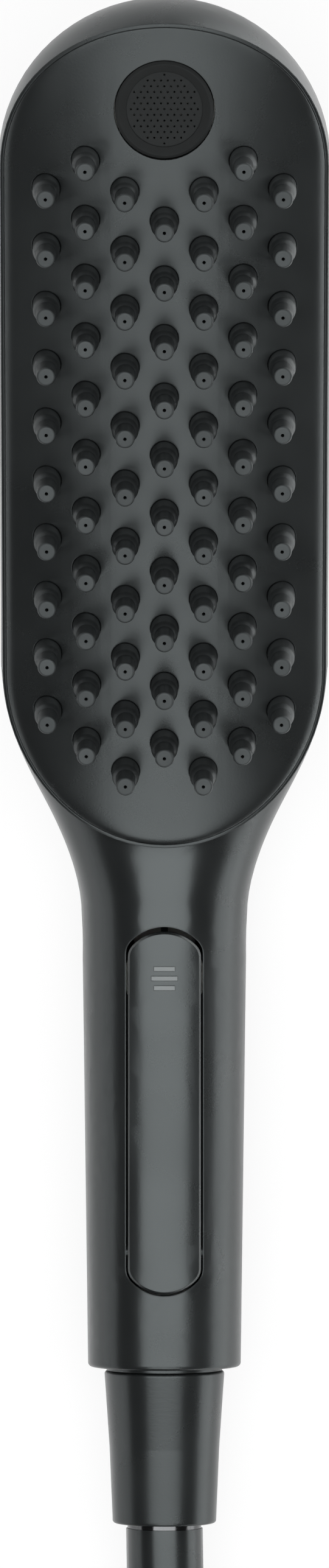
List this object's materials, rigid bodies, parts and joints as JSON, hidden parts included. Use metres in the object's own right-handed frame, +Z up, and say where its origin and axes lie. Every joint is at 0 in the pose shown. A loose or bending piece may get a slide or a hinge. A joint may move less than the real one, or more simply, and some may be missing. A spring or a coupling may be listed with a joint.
{
  "type": "handheld bath sprayer",
  "caption": "Hand sprayer for washing a pet: long tilted face of soft spray nubs, a fine-spray outlet at its top, a select button on the handle, and a hose with swivel nuts",
  "frame": {"origin": "on the table, below the middle of the box round the sprayer without its hose", "axes": "+Y runs from the hose end of the handle to the head, +Z points up out of the face, +X is across to the right as seen from above"},
  "size_m": [0.1798, 0.5376, 0.0801],
  "materials": {
    "casing": "satin dark grey moulded plastic",
    "face": "satin dark grey moulded plastic",
    "silicone": "soft satin dark grey silicone",
    "screen": "matt dark grey plastic with fine holes",
    "button": "satin dark grey moulded plastic",
    "inner_plastic": "natural white moulded plastic",
    "seals": "black rubber",
    "tube": "translucent white silicone tube",
    "steel": "plain stainless steel",
    "fitting": "black moulded plastic",
    "bright": "chromed metal",
    "hose_skin": "smooth dark grey flexible plastic"
  },
  "bodies": {
    "casing": {"body_shell": "casing", "face_plate": "face", "nub_mat": "silicone", "distributor_plate": "inner_plastic", "plate_screws": "steel", "spray_ring": "screen", "spray_screen": "screen", "screen_seal": "seals", "spray_cup": "inner_plastic", "valve_housing": "inner_plastic", "housing_screws": "steel", "valve_cap": "inner_plastic", "plunger_seal": "seals", "valve_seat": "seals", "plunger_spring": "steel", "jet_tube": "tube", "spray_tube": "tube", "button_pin": "fitting", "inlet_fitting": "fitting", "inlet_seal": "seals", "inlet_lock_nut": "fitting", "water_tube": "tube", "flow_limiter": "inner_plastic", "check_body": "inner_plastic", "check_spring": "steel", "hose_washer": "seals", "hose_tail": "bright", "hose": "hose_skin", "hose_coil": "hose_skin", "far_tail": "bright", "far_washer": "seals"},
    "button": {"select_button": "button"},
    "plunger": {"plunger": "inner_plastic"},
    "rotor": {"valve_rotor": "fitting"},
    "poppet": {"check_poppet": "fitting"},
    "hose_nut": {"hose_nut": "casing"},
    "far_nut": {"far_nut": "bright"}
  },
  "joints": [
    {"name": "button_press", "type": "hinge", "parent": "casing", "child": "button", "pos_m": [0, -0.08674, 0.02656], "axis": [-1, 0, 0], "range_deg": [0, 2.2], "stiffness_Nm_per_rad": 3, "springref_deg": -0.57},
    {"name": "plunger_slide", "type": "slide", "parent": "casing", "child": "plunger", "axis": [0, 0, -1], "range_m": [0, 0.0021], "deforming": ["plunger_spring"]},
    {"name": "rotor_turn", "type": "hinge", "parent": "casing", "child": "rotor", "pos_m": [0, -0.03224, 0.01236], "axis": [0, 0, 1], "continuous": true},
    {"name": "check_slide", "type": "slide", "parent": "casing", "child": "poppet", "axis": [0, 1, 0], "range_m": [0, 0.002], "stiffness_N_per_m": 200, "springref_m": -0.001, "deforming": ["check_spring"]},
    {"name": "hose_nut_turn", "type": "hinge", "parent": "casing", "child": "hose_nut", "pos_m": [0, -0.12634, 0.01636], "axis": [0, 1, 0], "continuous": true},
    {"name": "far_nut_turn", "type": "hinge", "parent": "casing", "child": "far_nut", "pos_m": [-0.09751, -0.36399, 0.02765], "axis": [-0.9972, -0.0744, 0], "continuous": true}
  ],
  "couplings": [
    {"joint": "plunger_slide", "follows": "button_press", "m_per_rad": 0.0545}
  ]
}
